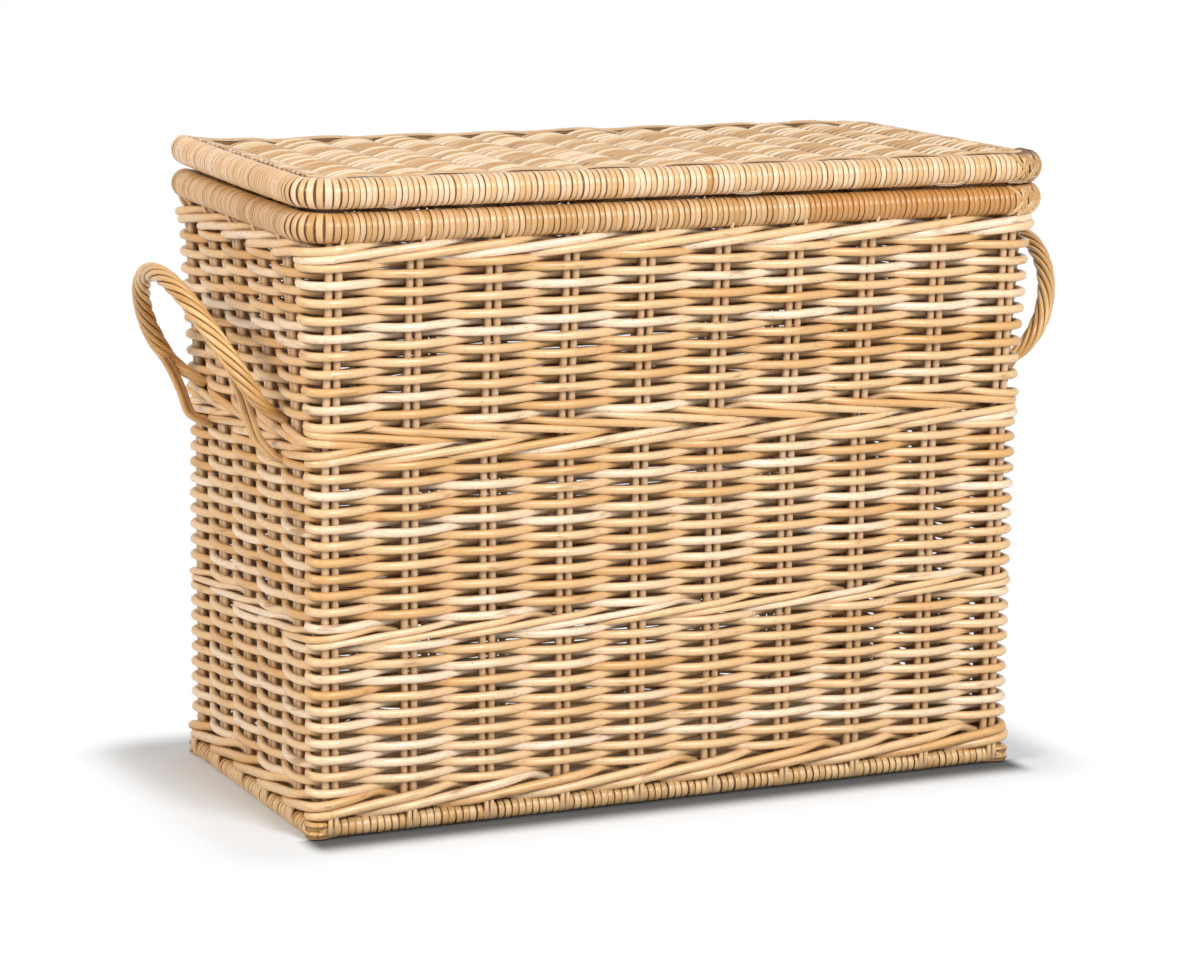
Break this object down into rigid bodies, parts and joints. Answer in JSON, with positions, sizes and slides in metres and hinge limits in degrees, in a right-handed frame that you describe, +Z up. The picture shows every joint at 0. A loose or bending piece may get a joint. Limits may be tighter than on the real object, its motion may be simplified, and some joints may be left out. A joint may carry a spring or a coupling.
{
  "type": "lidded rattan hamper",
  "caption": "Tall rectangular woven rattan storage hamper with wrapped rims, rope handles on its ends and a woven lid hinged along the back.",
  "frame": {"origin": "on the floor under the middle of the whole object's box", "axes": "+X to the right along the long side, seen from the front; +Y to the back, where the lid is hinged; +Z up"},
  "size_m": [0.9012, 0.377, 0.5987],
  "materials": {
    "weave": "honey round rattan core, satin",
    "wale": "pale honey round rattan core, satin",
    "stake_cane": "round rattan core, satin",
    "foot_peel": "glossy flat rattan peel, dark honey",
    "basket_rim_peel": "glossy flat rattan peel, tan",
    "lid_rim_peel": "glossy flat rattan peel, pale straw",
    "lid_cane": "thin round rattan core, satin",
    "rope_cane": "twisted rattan core, golden brown"
  },
  "bodies": {
    "basket": {"front_weave": "weave", "right_weave": "weave", "back_weave": "weave", "left_weave": "weave", "bottom_wale": "wale", "lower_wale": "wale", "middle_wale_lower": "wale", "middle_wale_upper": "wale", "top_wale": "wale", "front_stake_pair_1": "stake_cane", "front_stake_pair_2": "stake_cane", "front_stake_pair_3": "stake_cane", "front_stake_pair_4": "stake_cane", "front_stake_pair_5": "stake_cane", "front_stake_pair_6": "stake_cane", "front_stake_pair_7": "stake_cane", "front_stake_pair_8": "stake_cane", "front_stake_pair_9": "stake_cane", "front_stake_pair_10": "stake_cane", "right_stake_pair_1": "stake_cane", "right_stake_pair_2": "stake_cane", "right_stake_pair_3": "stake_cane", "right_stake_pair_4": "stake_cane", "right_stake_pair_5": "stake_cane", "back_stake_pair_1": "stake_cane", "back_stake_pair_2": "stake_cane", "back_stake_pair_3": "stake_cane", "back_stake_pair_4": "stake_cane", "back_stake_pair_5": "stake_cane", "back_stake_pair_6": "stake_cane", "back_stake_pair_7": "stake_cane", "back_stake_pair_8": "stake_cane", "back_stake_pair_9": "stake_cane", "back_stake_pair_10": "stake_cane", "left_stake_pair_1": "stake_cane", "left_stake_pair_2": "stake_cane", "left_stake_pair_3": "stake_cane", "left_stake_pair_4": "stake_cane", "left_stake_pair_5": "stake_cane", "front_foot_pole": "foot_peel", "right_foot_pole": "foot_peel", "back_foot_pole": "foot_peel", "left_foot_pole": "foot_peel", "floor_panel": "lid_cane", "basket_rim": "basket_rim_peel", "left_handle": "rope_cane", "right_handle": "rope_cane", "left_hinge_loop": "rope_cane", "right_hinge_loop": "rope_cane"},
    "lid": {"lid_rim": "lid_rim_peel", "lid_panel": "lid_cane", "lid_rib_1": "stake_cane", "lid_rib_2": "stake_cane", "lid_rib_3": "stake_cane", "lid_rib_4": "stake_cane", "lid_rib_5": "stake_cane", "lid_rib_6": "stake_cane", "lid_edge_rod": "lid_rim_peel"}
  },
  "joints": [
    {"name": "lid_hinge", "type": "hinge", "parent": "basket", "child": "lid", "pos_m": [0, 0.16945, 0.5795], "axis": [-1, 0, 0], "range_deg": [0, 105]}
  ]
}
